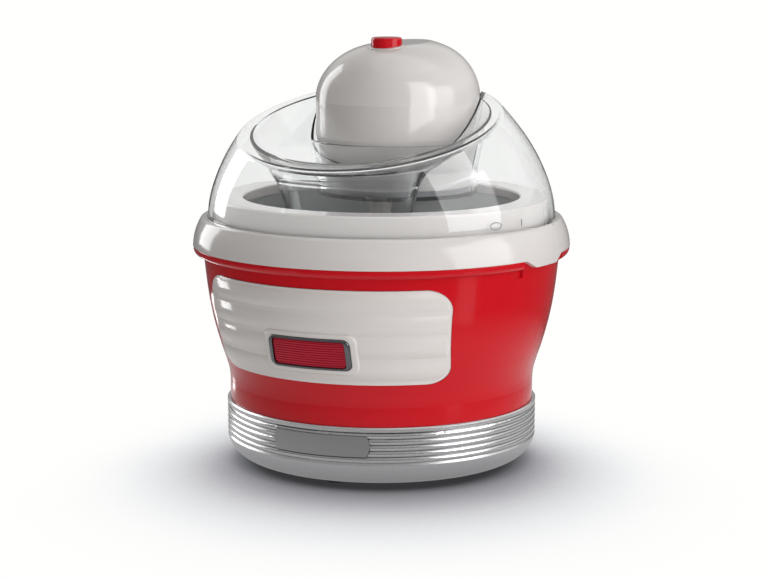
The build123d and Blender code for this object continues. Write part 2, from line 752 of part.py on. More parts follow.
# ================================================================ motor unit
def cover_solid(inset):
    """The motor cover as a solid, moved in by inset: a cone, a drum and a leaning crown."""
    sections = [(0, 0, 0, 0, 0), (1.9, 1.9, 1.5, 0.347, 0), (9.2, 5.3, 3.2, 0.628, 0.7),
                (20.2, 13.5, 5.0, 0.842, 1.2), (35.5, 23.5, 7.0, 0.965, 2.0)]
    height = crown_height - inset - cover_shoulder
    rings = []
    for narrow, short, shift, share, tilt in sections:
        place = Plane((0, well_centre + shift, cover_shoulder + share * height))
        size = (cover_radius - inset - narrow, cover_radius - inset - short)
        rings.append(place * Rot(tilt, 0, 0) * Ellipse(*size))
    crown = loft(rings)
    foot = well_floor_top + motor_base_thickness - (1 if inset else 0)
    r, neck = cover_radius - inset, cover_neck_radius - inset
    side = turned(profile((0, foot), (neck, foot), (neck, well_neck_height), (r, cover_taper_top),
                          (r, cover_shoulder), (0, cover_shoulder)))
    crown = fillet(crown.edges().sort_by(Axis.Z)[-1], 9.0)
    return crown + Pos(0, well_centre, 0) * side


def motor_cover():
    """The white housing over the motor, with the button's hole and the lead's hole."""
    solid = cover_solid(0) - cover_solid(cover_wall)
    solid -= ring(0, button_radius + button_gap + button_ring_width + seat_gap,
                  crown_height - 20, crown_height + 10, (0, button_centre))
    lead = Rot(90, 0, 0) * Cylinder(lead_hole_radius, 20)
    return solid - Pos(0, well_centre + cover_radius, lead_height) * lead


def motor_base():
    """The disc that closes the underside of the motor unit."""
    bottom = well_floor_top
    top = bottom + motor_base_thickness
    solid = ring(0, cover_neck_radius, bottom, top, (0, well_centre))
    solid += ring(0, 9.0, top, output_gear_height - 0.6)
    solid -= ring(0, bush_radius + seat_gap, bottom - 1, output_gear_height)
    for x, y in deck_places():
        solid += ring(0, 4.0, top, deck_height, (x, y))
        solid -= ring(0, screw_shank_radius + seat_gap, bottom - 1, deck_height + 1, (x, y))
    x, y = idler_place()
    solid += ring(0, 5.0, top, output_gear_height - 0.4, (x, y))
    return solid - ring(0, idler_pin_radius + seat_gap / 3, top, output_gear_height, (x, y))


def output_bush():
    """The flanged bush that carries the driving shaft in the base disc."""
    solid = ring(drive_shaft_radius + running_gap, bush_radius, well_floor_top + 0.4,
                 output_gear_height - 0.6)
    return solid


def deck_places():
    """Three pillars between the base disc and the motor deck, clear of the gears."""
    reach = cover_neck_radius - cover_wall - 5.5
    return [(reach * math.cos(math.radians(a)), well_centre + reach * math.sin(math.radians(a)))
            for a in (62.0, 180.0, 318.0)]


def idler_place():
    """The idler's axis, one centre distance from both the motor and the output shaft."""
    centre = gear_module * (motor_teeth + idler_teeth) / 2
    return math.sqrt(centre ** 2 - (motor_offset / 2) ** 2), motor_offset / 2


def toothed(teeth, bottom, top, bore, phase):
    """A spur gear with straight-sided teeth, the first one at the angle phase."""
    pitch_radius = gear_module * teeth / 2
    root, tip = pitch_radius - 1.15 * gear_module, pitch_radius + 0.85 * gear_module
    step = 360.0 / teeth
    points = []
    for i in range(teeth):
        middle = phase + i * step
        for radius, share in ((root, -0.28), (tip, -0.11), (tip, 0.11), (root, 0.28)):
            a = math.radians(middle + share * step)
            points.append((radius * math.cos(a), radius * math.sin(a)))
    face = make_face(Polyline(*points, close=True)) - Circle(bore)
    return Pos(0, 0, bottom) * extrude(face, top - bottom)


def stage_heights():
    """The lower gears' and the upper gears' undersides."""
    return output_gear_height, output_gear_height + gear_width + stage_gap


def output_gear():
    x, y = idler_place()
    towards = math.degrees(math.atan2(y, x))
    low, _ = stage_heights()
    return toothed(output_teeth, low, low + gear_width, drive_shaft_radius, towards)


def drive_shaft():
    """The output shaft with its flatted lower end, which turns the paddle."""
    low, _ = stage_heights()
    bottom = well_floor_top - drive_reach
    solid = ring(0, drive_shaft_radius, bottom, low + gear_width)
    flats = Box(drive_flat * 2, drive_shaft_radius * 3, drive_reach + 1,
                align=(Align.CENTER, Align.CENTER, Align.MIN))
    core = Pos(0, 0, bottom - 1) * flats
    end = ring(0, drive_shaft_radius, bottom, well_floor_top - 0.5)
    solid -= end - core
    return solid


def idler_gear():
    """The double gear between the motor and the output gear."""
    x, y = idler_place()
    low, high = stage_heights()
    bore = idler_pin_radius + running_gap
    back = math.degrees(math.atan2(-y, -x))
    small = toothed(idler_pinion_teeth, low, high, bore, back + 180.0 / idler_pinion_teeth)
    towards_motor = math.degrees(math.atan2(motor_offset - y, -x))
    large = toothed(idler_teeth, high, high + gear_width, bore,
                    towards_motor + 180.0 / idler_teeth)
    return Pos(x, y, 0) * (small + large)


def idler_pin():
    low, high = stage_heights()
    return ring(0, idler_pin_radius, well_floor_top + motor_base_thickness,
                high + gear_width + 2.0, idler_place())


def motor_pinion():
    """The motor's own pinion, pressed on the rotor shaft."""
    x, y = idler_place()
    from_motor = math.degrees(math.atan2(y - motor_offset, x))
    _, high = stage_heights()
    gear = toothed(motor_teeth, high, high + gear_width, rotor_radius, from_motor)
    return Pos(0, motor_offset, 0) * gear


def rotor_shaft():
    _, high = stage_heights()
    return ring(0, rotor_radius, high, deck_height + deck_thickness + motor_can_height - 6.0,
                (0, motor_offset))


def motor_can():
    """The motor's drawn can, with a bearing boss and the bore that its rotor turns in."""
    bottom = deck_height + deck_thickness
    solid = ring(0, motor_can_radius, bottom, bottom + motor_can_height - 4.0)
    solid = fillet(solid.edges().sort_by(Axis.Z)[-1], 2.5)
    solid += ring(0, 5.0, bottom, bottom + motor_can_height - 2.0)
    solid -= ring(0, rotor_radius + running_gap, bottom, bottom + motor_can_height - 5.5)
    return Pos(0, motor_offset, 0) * solid


def motor_deck():
    """The plate over the gears that carries the motor and the switch bracket."""
    reach = cover_neck_radius - cover_wall - 1.5
    solid = ring(0, reach, deck_height, deck_height + deck_thickness, (0, well_centre))
    solid -= ring(0, rotor_radius + 2.5, deck_height - 1, deck_height + deck_thickness + 1,
                  (0, motor_offset))
    for place in deck_places():
        solid -= ring(0, screw_shank_radius + seat_gap, deck_height - 1,
                      deck_height + deck_thickness + 1, place)
    return solid


def deck_screws():
    """Screws up through the base disc and the pillars into the deck."""
    screws = []
    for place in deck_places():
        top = deck_height + deck_thickness + 2.0
        shank = ring(0, screw_shank_radius, well_floor_top + 0.3, top, place)
        nut = ring(screw_shank_radius, screw_head_radius, deck_height + deck_thickness, top, place)
        screws.append(shank + nut)
    return screws


def switch_bracket():
    """A bent strip that stands on the deck and holds the switch under the button."""
    bottom = deck_height + deck_thickness
    top = switch_bottom
    leg = Pos(0, button_centre - 8.5, (bottom + top) / 2) * Box(16.0, 1.6, top - bottom)
    foot = Pos(0, button_centre - 12.5, bottom + 0.8) * Box(16.0, 8.0, 1.6)
    shelf = Pos(0, button_centre - 1.0, top - 0.8) * Box(16.0, 16.6, 1.6)
    return leg + foot + shelf


def switch_body():
    """A small push switch on the bracket."""
    block = Box(14.0, 11.0, 9.0, align=(Align.CENTER, Align.CENTER, Align.MIN))
    solid = Pos(0, button_centre, switch_bottom) * block
    return fillet(solid.edges().filter_by(Axis.Z), 1.0)


def button_ring():
    """The ring around the button, cut to the slope of the crown, with the sleeve below it."""
    inner = button_radius + button_gap
    place = (0, button_centre)
    bottom = button_shelf - sleeve_depth
    solid = ring(inner, inner + button_ring_width, bottom, button_face, place)
    solid = solid & (Pos(0, 0, button_ring_stand) * cover_solid(0))
    return solid + ring(spring_radius - 1.2, inner + 0.2, bottom, bottom + sleeve_floor, place)


def power_button():
    """The round button: a domed cap on a stem that reaches down to the switch."""
    cap = ring(0, button_radius, cap_bottom, button_face)
    cap = fillet(cap.edges().sort_by(Axis.Z)[-1], 1.6)
    stem = ring(0, 2.6, switch_top + button_travel + seat_gap, cap_bottom)
    return Pos(0, button_centre, 0) * (cap + stem)


def button_spring():
    """The coil that lifts the button, as its sleeve between the shelf and the cap."""
    bottom = button_shelf - sleeve_depth + sleeve_floor
    return ring(spring_radius - 1.0, spring_radius, bottom, cap_bottom, (0, button_centre))


def lead_bush():
    """The rubber bush in the back of the cover where the mains lead would leave."""
    y = well_centre + cover_radius
    place = Pos(0, y - 1.0, lead_height) * Rot(90, 0, 0)
    body = Cylinder(lead_hole_radius - seat_gap, 6.0) - Cylinder(lead_hole_radius - 1.8, 10.0)
    return place * body


# ================================================================ paddle
def paddle_frame():
    """Two windowed wings on a hub, clear of the bowl's wall, with a flatted socket on top."""
    frame = paddle_wing(0) + paddle_wing(180)
    hub = ring(0, hub_radius, paddle_bottom, hub_top - 4.5)
    socket = Pos(0, 0, paddle_socket_floor) * Box(2 * (drive_flat + socket_gap),
                                                  3 * drive_shaft_radius, hub_top - paddle_bottom,
                                                  align=(Align.CENTER, Align.CENTER, Align.MIN))
    socket &= ring(0, drive_shaft_radius + socket_gap, paddle_socket_floor, hub_top)
    pivot = ring(0, pivot_radius + 0.3, paddle_bottom - 1, liner_floor + pivot_height + 0.6)
    return frame + hub - socket - pivot


def paddle_wing(facing):
    """One wing: a rounded frame with a crossbar between two windows."""
    height = paddle_top - paddle_bottom
    outline = Pos(paddle_reach / 2, paddle_bottom + height / 2) * Rectangle(paddle_reach, height)
    outline = fillet(outline.vertices().group_by(Axis.X)[-1], paddle_corner)
    window_start = hub_radius + 2.5
    window_width = paddle_reach - paddle_bar - window_start
    window_height = (height - 3 * paddle_bar) / 2
    for row in range(2):
        z = paddle_bottom + paddle_bar + window_height / 2 + row * (window_height + paddle_bar)
        window = RectangleRounded(window_width, window_height, window_corner)
        outline -= Pos(window_start + window_width / 2, z) * window
    wing = extrude(Plane.XZ * outline, paddle_thickness / 2, both=True)
    return Rot(0, 0, facing) * wing


# ================================================================ the pieces
save("base_skirt", base_skirt())
save("base_nameplate", base_nameplate())
save("base_plate", base_plate())
save("rubber_feet", *rubber_feet())
save("base_screws", *base_screws())
save("body_shell", body_shell())
save("front_panel", front_panel())
save("badge_bezel", badge_bezel())
save("badge_insert", badge_insert())
save("bowl_cradle", bowl_cradle())
save("bowl_jacket", bowl_jacket())
save("bowl_liner", bowl_liner())
save("coolant_fill", coolant_fill())
save("bowl_rim", bowl_rim())
save("fill_plug", fill_plug())
save("collar_ring", collar_ring())
save("lid_dome", lid_dome())
save("motor_cover", motor_cover())
save("motor_base", motor_base())
save("output_bush", output_bush())
save("output_gear", output_gear())
save("drive_shaft", drive_shaft())
save("idler_gear", idler_gear())
save("idler_pin", idler_pin())
save("motor_pinion", motor_pinion())
save("rotor_shaft", rotor_shaft())
save("motor_can", motor_can())
save("motor_deck", motor_deck())
save("deck_screws", *deck_screws())
save("switch_bracket", switch_bracket())
save("switch_body", switch_body())
save("button_ring", button_ring())
save("power_button", power_button())
save("button_spring", button_spring())
save("lead_bush", lead_bush())
save("paddle_frame", paddle_frame())
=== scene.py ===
import math

import bmesh
import bpy
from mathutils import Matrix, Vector


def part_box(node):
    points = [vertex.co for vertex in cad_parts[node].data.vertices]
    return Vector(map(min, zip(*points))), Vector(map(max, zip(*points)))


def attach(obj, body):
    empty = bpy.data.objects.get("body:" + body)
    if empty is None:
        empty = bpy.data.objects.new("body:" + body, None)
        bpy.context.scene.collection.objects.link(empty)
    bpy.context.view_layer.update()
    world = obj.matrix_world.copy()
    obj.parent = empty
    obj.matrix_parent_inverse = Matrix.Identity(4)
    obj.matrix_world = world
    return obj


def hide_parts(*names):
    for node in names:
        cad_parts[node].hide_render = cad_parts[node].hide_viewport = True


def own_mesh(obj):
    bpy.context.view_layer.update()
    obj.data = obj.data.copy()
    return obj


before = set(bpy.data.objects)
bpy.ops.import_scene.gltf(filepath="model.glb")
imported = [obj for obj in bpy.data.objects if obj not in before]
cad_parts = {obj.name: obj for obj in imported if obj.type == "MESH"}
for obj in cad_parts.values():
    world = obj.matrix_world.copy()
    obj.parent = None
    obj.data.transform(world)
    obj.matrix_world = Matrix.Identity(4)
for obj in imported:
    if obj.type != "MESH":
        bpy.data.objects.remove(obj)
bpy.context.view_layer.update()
scene = bpy.context.scene


# ------------------------------------------------------------------ camera
# A long lens about 1.3 m away, a little above the lid and looking down on it by 9.6 degrees,
# 24 degrees round from the machine's front to its right.
camera_data = bpy.data.cameras.new("camera")
camera_data.sensor_width = 36.0
camera_data.lens = 98.2
camera_data.shift_x = 0.0045
camera = bpy.data.objects.new("camera", camera_data)
camera.location = (0.5296, -1.1894, 0.3275)
camera.rotation_euler = (math.radians(80.4), 0.0, math.radians(24.0))
scene.collection.objects.link(camera)
scene.camera = camera
scene.view_settings.view_transform = "Standard"


# ------------------------------------------------------------------ table
# The machine stands on a matt white board. The eye sees it pure white out in the open; close
# to the machine it darkens as the machine closes off its sky, more in front than at the
# sides, because most of that light comes from behind.
def linear(code):
    """A colour written as sRGB hex, as the linear numbers that a shader takes."""
    channels = [int(code[i:i + 2], 16) / 255 for i in (1, 3, 5)]
    return [c / 12.92 if c <= 0.04045 else ((c + 0.055) / 1.055) ** 2.4 for c in channels] + [1.0]


def add(tree, kind, settings=None, links=None):
    """Adds a node. Lower-case settings are its options, the rest are its sockets."""
    node = tree.nodes.new("ShaderNode" + kind)
    for key, value in (settings or {}).items():
        if isinstance(key, str) and key[0].islower():
            setattr(node, key, value)
        else:
            node.inputs[key].default_value = value
    for key, socket in (links or {}).items():
        tree.links.new(socket, node.inputs[key])
    return node


def new_material(name):
    """An empty material: its tree and its output node."""
    material = bpy.data.materials.new(name)
    material.use_nodes = True
    material.node_tree.nodes.clear()
    return material, material.node_tree, add(material.node_tree, "OutputMaterial")


# A Mix node's sockets go by place: its two colours and their mix, and its two numbers.
colour_a, colour_b, mixed_colour = 6, 7, 2
number_a, number_b = 2, 3
open_white = linear("#fffffd")
toward_front = (0.407, -0.914, 0.0)


def white_table():
    """The board's shade, by how much sky it sees."""
    material, tree, output = new_material("matt_white_table")
    place = add(tree, "TexCoord")
    flat = add(tree, "VectorMath", {"operation": "MULTIPLY", 1: (1, 1, 0)},
               {0: place.outputs["Object"]})
    toward = add(tree, "VectorMath", {"operation": "NORMALIZE"}, {0: flat.outputs[0]})
    front = add(tree, "VectorMath", {"operation": "DOT_PRODUCT", 1: toward_front},
                {0: toward.outputs[0]})
    front = add(tree, "MapRange", {"From Min": -0.3, "To Max": 0.15},
                {"Value": front.outputs["Value"]})
    sky = add(tree, "AmbientOcclusion", {"samples": 24, "Distance": 0.32})
    sky = add(tree, "Math", {"operation": "SUBTRACT"}, {0: sky.outputs["AO"], 1: front.outputs[0]})
    shade = add(tree, "ValToRGB", {}, {0: sky.outputs[0]})
    stops = [(0.00, "#363638"), (0.10, "#515154"), (0.20, "#696a6e"), (0.30, "#77777b"),
             (0.40, "#88888d"), (0.47, "#9b9ba0"), (0.54, "#b4b4b8"), (0.60, "#d1d1d4"),
             (0.64, "#dcdde0"), (0.70, "#edeef0"), (0.75, "#fafafa"), (0.81, "#fffffd")]
    ramp = shade.color_ramp
    for share_of_sky, code in stops[1:-1]:
        ramp.elements.new(share_of_sky).color = linear(code)
    ramp.elements[0].position, ramp.elements[0].color = stops[0][0], linear(stops[0][1])
    ramp.elements[-1].position, ramp.elements[-1].color = stops[-1][0], linear(stops[-1][1])
    away = add(tree, "VectorMath", {"operation": "LENGTH"}, {0: flat.outputs[0]})
    fade = add(tree, "MapRange", {"interpolation_type": "SMOOTHSTEP", "From Min": 0.18,
                                  "From Max": 0.32}, {"Value": away.outputs["Value"]})
    colour = add(tree, "Mix", {"data_type": "RGBA", colour_b: open_white},
                 {0: fade.outputs[0], colour_a: shade.outputs[0]})
    # Gloss mirrors a paler board near the machine and a dim one farther out.
    ray = add(tree, "LightPath")
    mirrored = add(tree, "Math", {"operation": "SUBTRACT", "use_clamp": True},
                   {0: ray.outputs["Is Glossy Ray"], 1: ray.outputs["Is Transmission Ray"]})
    gloss_level = add(tree, "MapRange", {"From Min": 0.22, "From Max": 0.36, "To Min": 0.72,
                                         "To Max": 0.12}, {"Value": away.outputs["Value"]})
    level = add(tree, "Mix", {"data_type": "FLOAT", number_a: 1.0},
                {0: mirrored.outputs[0], number_b: gloss_level.outputs[0]})
    paler = add(tree, "Math", {"operation": "MULTIPLY", 1: 0.45}, {0: mirrored.outputs[0]})
    colour = add(tree, "Mix", {"data_type": "RGBA", colour_b: linear("#ffffff")},
                 {0: paler.outputs[0], colour_a: colour.outputs[mixed_colour]})
    seen_board = add(tree, "Emission", {}, {"Color": colour.outputs[mixed_colour],
                                            "Strength": level.outputs[0]})
    # Light that bounces off the board meets plain white paint.
    board = add(tree, "BsdfDiffuse", {"Color": linear("#e7e7e7")})
    seen = add(tree, "Math", {"operation": "MAXIMUM"},
               {0: ray.outputs["Is Camera Ray"], 1: ray.outputs["Is Transmission Ray"]})
    seen = add(tree, "Math", {"operation": "MAXIMUM"},
               {0: seen.outputs[0], 1: ray.outputs["Is Glossy Ray"]})
    both = add(tree, "MixShader", {}, {0: seen.outputs[0], 1: board.outputs[0],
                                       2: seen_board.outputs[0]})
    tree.links.new(both.outputs[0], output.inputs["Surface"])
    return material


half_board = 15.0
corners = [(-half_board, -half_board, 0), (half_board, -half_board, 0),
           (half_board, half_board, 0), (-half_board, half_board, 0)]
table_mesh = bpy.data.meshes.new("table_top")
table_mesh.from_pydata(corners, [], [(0, 1, 2, 3)])
table = bpy.data.objects.new("table_top", table_mesh)
table_mesh.materials.append(white_table())
scene.collection.objects.link(table)


# ------------------------------------------------------------------ room
# A dim room with a white sweep behind the machine, as a gloss surface sees it. Straight on
# and through the clear lid it is the same open white as the table.
world = bpy.data.worlds.new("studio")
scene.world = world
world.use_nodes = True
room = world.node_tree
room.nodes.clear()
ray = add(room, "LightPath")
direction = add(room, "TexCoord")
facing = add(room, "SeparateXYZ", {}, {0: direction.outputs["Generated"]})
upper = add(room, "MapRange", {"interpolation_type": "SMOOTHSTEP", "From Min": 0.08,
                               "From Max": 0.40}, {"Value": facing.outputs["Z"]})
near = add(room, "MapRange", {"To Min": 0.06, "To Max": 0.40}, {"Value": upper.outputs[0]})
far = add(room, "MapRange", {"To Min": 0.28, "To Max": 1.0}, {"Value": upper.outputs[0]})
behind = add(room, "MapRange", {"interpolation_type": "SMOOTHSTEP", "From Min": -0.35,
                                "From Max": 0.45},
             {"Value": facing.outputs["Y"], "To Min": near.outputs[0], "To Max": far.outputs[0]})
seen = add(room, "Math", {"operation": "MAXIMUM"},
           {0: ray.outputs["Is Camera Ray"], 1: ray.outputs["Is Transmission Ray"]})
glossy = add(room, "Mix", {"data_type": "FLOAT", number_a: 0.25},
             {0: ray.outputs["Is Glossy Ray"], number_b: behind.outputs[0]})
level = add(room, "Mix", {"data_type": "FLOAT", number_b: 1.0},
            {0: seen.outputs[0], number_a: glossy.outputs[0]})
background = add(room, "Background", {"Color": open_white}, {"Strength": level.outputs[0]})
add(room, "OutputWorld", {}, {"Surface": background.outputs[0]})


# ------------------------------------------------------------------ lamps
# Two tall softboxes light the machine from its sides, with a wide fill in front and a large
# lamp overhead. The other cards are kept off everything but one piece, as a studio does with
# black flags; a mirrored one shows in that piece's gloss only.
def area_lamp(name, wide, tall, power):
    """A rectangular lamp that shines straight down until it is turned."""
    data = bpy.data.lights.new(name, "AREA")
    data.shape = "RECTANGLE"
    data.size, data.size_y = wide, tall
    data.energy = power
    lamp = bpy.data.objects.new(name, data)
    scene.collection.objects.link(lamp)
    return lamp


def softbox(name, angle, distance, height, tall, wide, power, aim, only=None, mirrored=False):
    """A lamp at an angle round the machine (0 is +X), aimed at a height on its axis."""
    lamp = area_lamp(name, wide, tall, power)
    turn = math.radians(angle)
    lamp.location = (distance * math.cos(turn), distance * math.sin(turn), height)
    fall = math.atan2(height - aim, distance)
    lamp.rotation_euler = (math.pi / 2 - fall, 0.0, turn + math.pi / 2)
    if only:
        lit = bpy.data.collections.new("lit_by_" + name)
        lit.objects.link(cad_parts[only])
        lamp.light_linking.receiver_collection = lit
        lamp.visible_camera = False
        lamp.visible_diffuse = not mirrored
    return lamp


softbox("right_softbox", angle=-4.0, distance=1.3, height=0.53, tall=0.9, wide=1.0,
        power=8.2, aim=0.15)
softbox("lid_side_softbox", angle=-4.0, distance=1.3, height=0.53, tall=0.9, wide=1.0,
        power=3.5, aim=0.15, only="lid_dome", mirrored=True)
softbox("left_softbox", angle=163.0, distance=1.2, height=0.50, tall=0.9, wide=0.44,
        power=4.2, aim=0.15)
softbox("lid_top_softbox", angle=-8.0, distance=1.05, height=1.05, tall=0.34, wide=0.80,
        power=3.2, aim=0.115, only="lid_dome", mirrored=True)
softbox("cover_card", angle=-31.0, distance=0.6, height=0.40, tall=0.72, wide=0.40,
        power=3.2, aim=0.40, only="motor_cover", mirrored=True)
softbox("panel_fill", angle=-35.0, distance=1.5, height=0.30, tall=0.6, wide=0.6,
        power=1.3, aim=0.08, only="front_panel")
softbox("panel_card", angle=185.0, distance=0.457, height=0.07, tall=0.10, wide=0.10,
        power=0.17, aim=0.10, only="front_panel")
softbox("waist_card_left", angle=162.8, distance=0.26, height=0.03, tall=0.06, wide=0.03,
        power=0.023, aim=0.05, only="body_shell")
softbox("waist_card_right", angle=-18.5, distance=0.306, height=0.03, tall=0.06, wide=0.06,
        power=0.009, aim=0.05, only="body_shell")
softbox("skirt_card_right", angle=-14.0, distance=1.0, height=0.10, tall=0.6, wide=0.34,
        power=2.4, aim=0.02, only="base_skirt")
softbox("skirt_card_left", angle=-172.0, distance=1.0, height=0.10, tall=0.6, wide=0.46,
        power=2.0, aim=0.02, only="base_skirt")
fill = softbox("front_fill", angle=-50.0, distance=1.7, height=0.26, tall=0.46, wide=1.3,
               power=8.2, aim=0.08)
fill.visible_glossy = False
fill.visible_transmission = False
overhead = area_lamp("overhead", wide=1.4, tall=1.4, power=4.0)
overhead.location = (0.1, 0.1, 1.6)


# ------------------------------------------------------------------ base plate and cradle
# The plate closes the underside and the cradle inside the body carries the freezer bowl.
# Both are grey ABS as it leaves the mould, whose spark-eroded grain scatters light evenly.
# The grain is really 0.1 mm and is drawn 0.56 mm, so that it shows.
def every(millimetres):
    """The Scale that repeats a pattern every so many millimetres."""
    return 1000.0 / millimetres


def grained_grey_abs():
    material, tree, output = new_material("grained_grey_abs")
    place = add(tree, "TexCoord")
    grain = add(tree, "TexNoise", {"Scale": every(0.556), "Detail": 2.0},
                {"Vector": place.outputs["Object"]})
    colour = add(tree, "Mix", {"data_type": "RGBA", colour_a: linear("#8c8d8f"),
                               colour_b: linear("#949597")}, {0: grain.outputs["Fac"]})
    bump = add(tree, "Bump", {"Strength": 0.25, "Distance": 0.0002}, {"Height": grain.outputs["Fac"]})
    plastic = add(tree, "BsdfPrincipled", {"IOR": 1.53, "Roughness": 0.5}, {
        "Base Color": colour.outputs[mixed_colour], "Normal": bump.outputs[0]})
    tree.links.new(plastic.outputs[0], output.inputs["Surface"])
    return material


def finish_with(material, *names):
    """Gives CAD nodes their finish."""
    for name in names:
        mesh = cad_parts[name].data
        mesh.materials.clear()
        mesh.materials.append(material)


grey_abs = grained_grey_abs()
finish_with(grey_abs, "base_plate", "bowl_cradle")


# ------------------------------------------------------------------ rubber feet
# Four feet are moulded in black rubber and pressed into the base plate. Their skin is matt,
# with dust that clings to it in specks about 3 mm apart.
def black_rubber():
    material, tree, output = new_material("moulded_black_rubber")
    place = add(tree, "TexCoord")
    dust = add(tree, "TexNoise", {"Scale": every(3.33), "Detail": 3.0},
               {"Vector": place.outputs["Object"]})
    colour = add(tree, "Mix", {"data_type": "RGBA", colour_a: linear("#1d1d1e"),
                               colour_b: linear("#2a2a2b")}, {0: dust.outputs["Fac"]})
    bump = add(tree, "Bump", {"Strength": 0.2, "Distance": 0.0002}, {"Height": dust.outputs["Fac"]})
    rubber = add(tree, "BsdfPrincipled", {"Roughness": 0.75, "IOR": 1.5}, {
        "Base Color": colour.outputs[mixed_colour], "Normal": bump.outputs[0]})
    tree.links.new(rubber.outputs[0], output.inputs["Surface"])
    return material


soft_rubber = black_rubber()
finish_with(soft_rubber, "rubber_feet")


# ------------------------------------------------------------------ base screws
# Three screws come up through the plate into posts under the cradle. They are steel with a
# bright zinc plating, whose crystals cloud its shine over about 11 mm.
def zinc_plated_steel():
    material, tree, output = new_material("zinc_plated_steel")
    place = add(tree, "TexCoord")
    cloud = add(tree, "TexNoise", {"Scale": every(11.1), "Detail": 3.0},
                {"Vector": place.outputs["Object"]})
    colour = add(tree, "Mix", {"data_type": "RGBA", colour_a: linear("#a5a7a8"),
                               colour_b: linear("#bbbdbe")}, {0: cloud.outputs["Fac"]})
    sheen = add(tree, "MapRange", {"To Min": 0.26, "To Max": 0.38}, {"Value": cloud.outputs["Fac"]})
    metal = add(tree, "BsdfPrincipled", {"Metallic": 1.0}, {
        "Base Color": colour.outputs[mixed_colour], "Roughness": sheen.outputs[0]})
    tree.links.new(metal.outputs[0], output.inputs["Surface"])
    return material


steel = zinc_plated_steel()
finish_with(steel, "base_screws")


# ------------------------------------------------------------------ base skirt
# The ribbed skirt is moulded in ABS and sprayed with a satin silver paint, whose aluminium
# flakes give a soft metal sheen along each rib. The grooves are darkened with painted shade,
# the more the less room round them is open. The flakes, really 0.03 mm, are drawn 0.46 mm to show.
def silver_painted_abs():
    material, tree, output = new_material("silver_painted_abs")
    place = add(tree, "TexCoord")
    flake = add(tree, "TexVoronoi", {"Scale": every(0.455)}, {"Vector": place.outputs["Object"]})
    cloud = add(tree, "TexNoise", {"Scale": every(62.5), "Detail": 2.0},
                {"Vector": place.outputs["Object"]})
    colour = add(tree, "Mix", {"data_type": "RGBA", colour_a: linear("#bcbbbc"),
                               colour_b: linear("#d2d2d3")}, {0: flake.outputs["Distance"]})
    # Painted shade: the colour runs from silver to dark grey where the grooves close in, by how much
    # room within 3 mm is open.
    open_sky = add(tree, "AmbientOcclusion", {"samples": 16, "Distance": 0.003})
    painted_groove_shade = add(tree, "MapRange", {"From Min": 0.4, "From Max": 0.85}, {"Value": open_sky.outputs["AO"]})
    colour = add(tree, "Mix", {"data_type": "RGBA", colour_a: linear("#5c5b5e")},
                 {0: painted_groove_shade.outputs[0], colour_b: colour.outputs[mixed_colour]})
    sheen = add(tree, "MapRange", {"To Min": 0.21, "To Max": 0.27}, {"Value": cloud.outputs["Fac"]})
    bump = add(tree, "Bump", {"Strength": 0.05, "Distance": 0.0002},
               {"Height": flake.outputs["Distance"]})
    edge = add(tree, "Bevel", {"samples": 4, "Radius": 0.0003}, {"Normal": bump.outputs[0]})
    paint = add(tree, "BsdfPrincipled", {"Metallic": 0.9}, {
        "Base Color": colour.outputs[mixed_colour], "Roughness": sheen.outputs[0],
        "Normal": edge.outputs[0]})
    tree.links.new(paint.outputs[0], output.inputs["Surface"])
    return material


finish_with(silver_painted_abs(), "base_skirt")


# ------------------------------------------------------------------ nameplate
# A bare aluminium plate is pressed into the skirt's ribs. It is brushed lengthways and satin
# anodised, so that its light spreads up and down. The brush lines, really 0.05 mm apart, are
# drawn 0.19 mm apart so that they show.
def brushed_aluminium(name, light, dark):
    material, tree, output = new_material(name)
    place = add(tree, "TexCoord")
    stretch = add(tree, "Mapping", {"Scale": (every(16.7), every(16.7), every(0.192))},
                  {"Vector": place.outputs["Object"]})
    line = add(tree, "TexNoise", {"Scale": 1.0, "Detail": 3.0}, {"Vector": stretch.outputs[0]})
    colour = add(tree, "Mix", {"data_type": "RGBA", colour_a: linear(dark), colour_b: linear(light)},
                 {0: line.outputs["Fac"]})
    sheen = add(tree, "MapRange", {"To Min": 0.30, "To Max": 0.42}, {"Value": line.outputs["Fac"]})
    bump = add(tree, "Bump", {"Strength": 0.05, "Distance": 0.0002}, {"Height": line.outputs["Fac"]})
    metal = add(tree, "BsdfPrincipled", {"Metallic": 1.0}, {
        "Base Color": colour.outputs[mixed_colour], "Roughness": sheen.outputs[0],
        "Normal": bump.outputs[0]})
    tree.links.new(metal.outputs[0], output.inputs["Surface"])
    return material


finish_with(brushed_aluminium("brushed_aluminium_plate", "#b4b3b4", "#9d9c9d"), "base_nameplate")


# ------------------------------------------------------------------ body shell
# The flared body stands with its spigot in the skirt. It is moulded in red ABS, coloured
# through, and polished tools leave it a high gloss with a ripple about 4.6 mm across.
def moulded_red_abs():
    material, tree, output = new_material("moulded_red_abs")
    place = add(tree, "TexCoord")
    cloud = add(tree, "TexNoise", {"Scale": every(83.3), "Detail": 2.0},
                {"Vector": place.outputs["Object"]})
    colour = add(tree, "Mix", {"data_type": "RGBA", colour_a: linear("#c80f1c"),
                               colour_b: linear("#ce121f")}, {0: cloud.outputs["Fac"]})
    ripple = add(tree, "TexNoise", {"Scale": every(4.55), "Detail": 1.0},
                 {"Vector": place.outputs["Object"]})
    gloss = add(tree, "MapRange", {"To Min": 0.12, "To Max": 0.17}, {"Value": cloud.outputs["Fac"]})
    bump = add(tree, "Bump", {"Strength": 0.04, "Distance": 0.0004}, {"Height": ripple.outputs["Fac"]})
    edge = add(tree, "Bevel", {"samples": 4, "Radius": 0.0004}, {"Normal": bump.outputs[0]})
    plastic = add(tree, "BsdfPrincipled", {"IOR": 1.38}, {
        "Base Color": colour.outputs[mixed_colour], "Roughness": gloss.outputs[0],
        "Normal": edge.outputs[0]})
    tree.links.new(plastic.outputs[0], output.inputs["Surface"])
    return material


red_abs = moulded_red_abs()
finish_with(red_abs, "body_shell")


